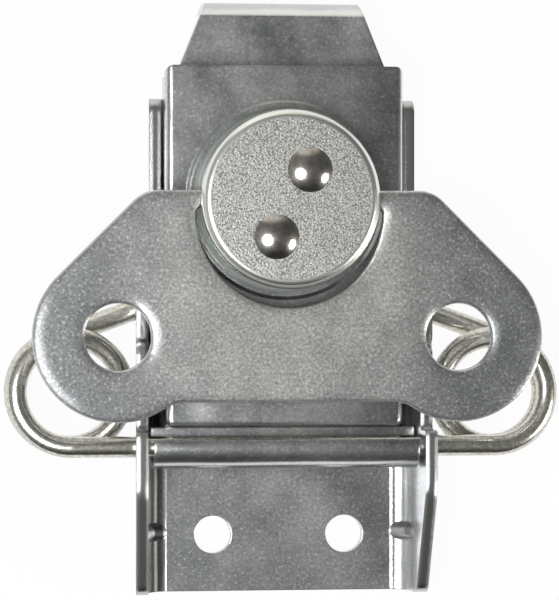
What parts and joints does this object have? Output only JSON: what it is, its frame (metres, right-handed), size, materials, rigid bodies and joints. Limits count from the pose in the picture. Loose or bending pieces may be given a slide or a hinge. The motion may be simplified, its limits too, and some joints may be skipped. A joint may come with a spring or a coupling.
{
  "type": "spring-loaded butterfly latch",
  "caption": "Surface-mounted butterfly latch: a folding wing turns a cam that draws a hook plate on a spring-held tray over a bent sheet channel.",
  "frame": {"origin": "the cam's turning axis on the mounting face, which is the back of the channel floor", "axes": "+X across the latch, +Y to the hook, +Z out from the panel along the cam's turning axis"},
  "size_m": [0.0924, 0.0983, 0.0189],
  "materials": {
    "zinc_sheet": "bright zinc-plated steel sheet with fine scratches",
    "zinc_turned": "bright zinc-plated turned steel",
    "zinc_granular": "matt zinc-plated steel with a granular face",
    "spring_wire": "nickel-plated spring wire, glossy",
    "rivet_steel": "polished dark steel domes"
  },
  "bodies": {
    "base": {"base_channel": "zinc_sheet", "torsion_spring": "spring_wire"},
    "tray": {"carrier": "zinc_sheet"},
    "hook": {"claw": "zinc_sheet"},
    "cam": {"eccentric": "zinc_turned", "retainer": "zinc_turned", "hub": "zinc_turned", "cap": "zinc_granular", "rivets": "rivet_steel"},
    "wing": {"wing_handle": "zinc_sheet"}
  },
  "joints": [
    {"name": "tray_tilt", "type": "hinge", "parent": "base", "child": "tray", "pos_m": [0, -0.0408, 0.009], "axis": [1, 0, 0], "range_deg": [0, 90]},
    {"name": "cam_turn", "type": "hinge", "parent": "tray", "child": "cam", "pos_m": [0, 0, 0], "axis": [0, 0, 1], "range_deg": [0, 180]},
    {"name": "hook_draw", "type": "slide", "parent": "tray", "child": "hook", "axis": [0, 1, 0], "range_m": [0, 0.007]},
    {"name": "wing_flip", "type": "hinge", "parent": "cam", "child": "wing", "pos_m": [0, 0.00013, 0.01395], "axis": [-1, 0, 0], "range_deg": [0, 90]}
  ],
  "couplings": [
    {"joint": "hook_draw", "follows": "cam_turn", "m_per_rad": 0.0022282}
  ]
}
